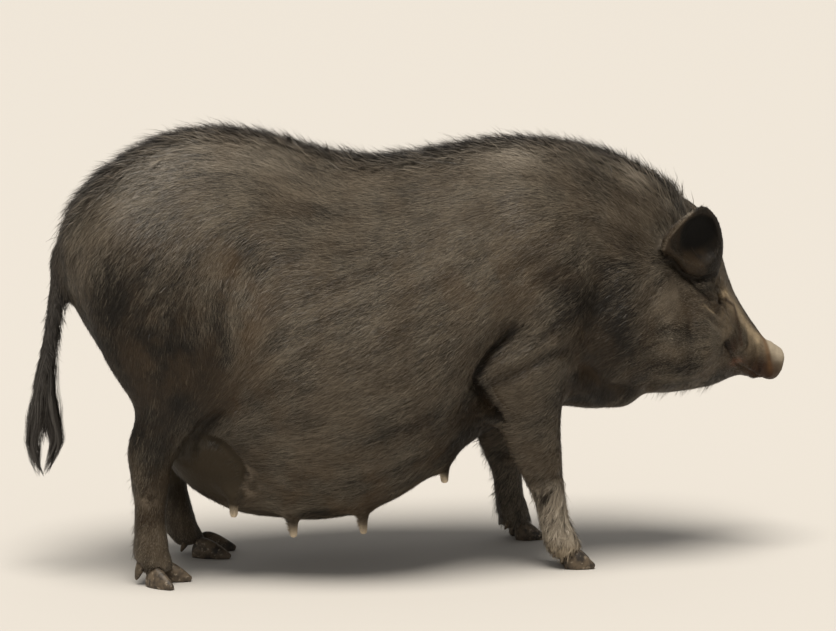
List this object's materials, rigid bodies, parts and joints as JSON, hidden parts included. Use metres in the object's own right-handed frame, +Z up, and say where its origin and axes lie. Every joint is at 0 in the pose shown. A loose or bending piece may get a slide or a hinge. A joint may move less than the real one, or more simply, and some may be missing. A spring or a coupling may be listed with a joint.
{
  "type": "pig",
  "caption": "Black pot-bellied village sow, life size, in mid step, with a sagging back, a low heavy belly, cupped ears and a bristly coat.",
  "frame": {"origin": "on the floor, under the middle of the animal's box", "axes": "+X towards the snout, along the body; +Y towards the animal's left; +Z up"},
  "size_m": [1.1746, 0.4234, 0.6779],
  "materials": {
    "hide": "short dark bristles over black skin",
    "ear": "thin dark skin, sparsely haired",
    "snout": "bare damp skin, pale at the rim",
    "eye": "wet",
    "hoof": "worn horn with dried mud",
    "hair": "long coarse black hair"
  },
  "bodies": {
    "root": {"head": "hide", "lower_jaw": "hide", "snout_disc": "snout", "eye_right": "eye", "eye_left": "eye", "ear_right": "ear", "ear_left": "ear", "neck": "hide", "trunk": "hide", "tail": "hide", "tail_tuft": "hair", "foreleg_right": "hide", "forecannon_right": "hide", "forefoot_right": "hide", "foreleg_left": "hide", "forecannon_left": "hide", "forefoot_left": "hide", "thigh_right": "hide", "hindcannon_right": "hide", "hindfoot_right": "hide", "thigh_left": "hide", "hindcannon_left": "hide", "hindfoot_left": "hide", "hoof_fore_right_inner": "hoof", "hoof_fore_right_outer": "hoof", "hoof_fore_left_inner": "hoof", "hoof_fore_left_outer": "hoof", "hoof_hind_right_inner": "hoof", "hoof_hind_right_outer": "hoof", "hoof_hind_left_inner": "hoof", "hoof_hind_left_outer": "hoof", "dewclaw_fore_right_inner": "hoof", "dewclaw_fore_right_outer": "hoof", "dewclaw_fore_left_inner": "hoof", "dewclaw_fore_left_outer": "hoof", "dewclaw_hind_right_inner": "hoof", "dewclaw_hind_right_outer": "hoof", "dewclaw_hind_left_inner": "hoof", "dewclaw_hind_left_outer": "hoof"}
  },
  "joints": []
}
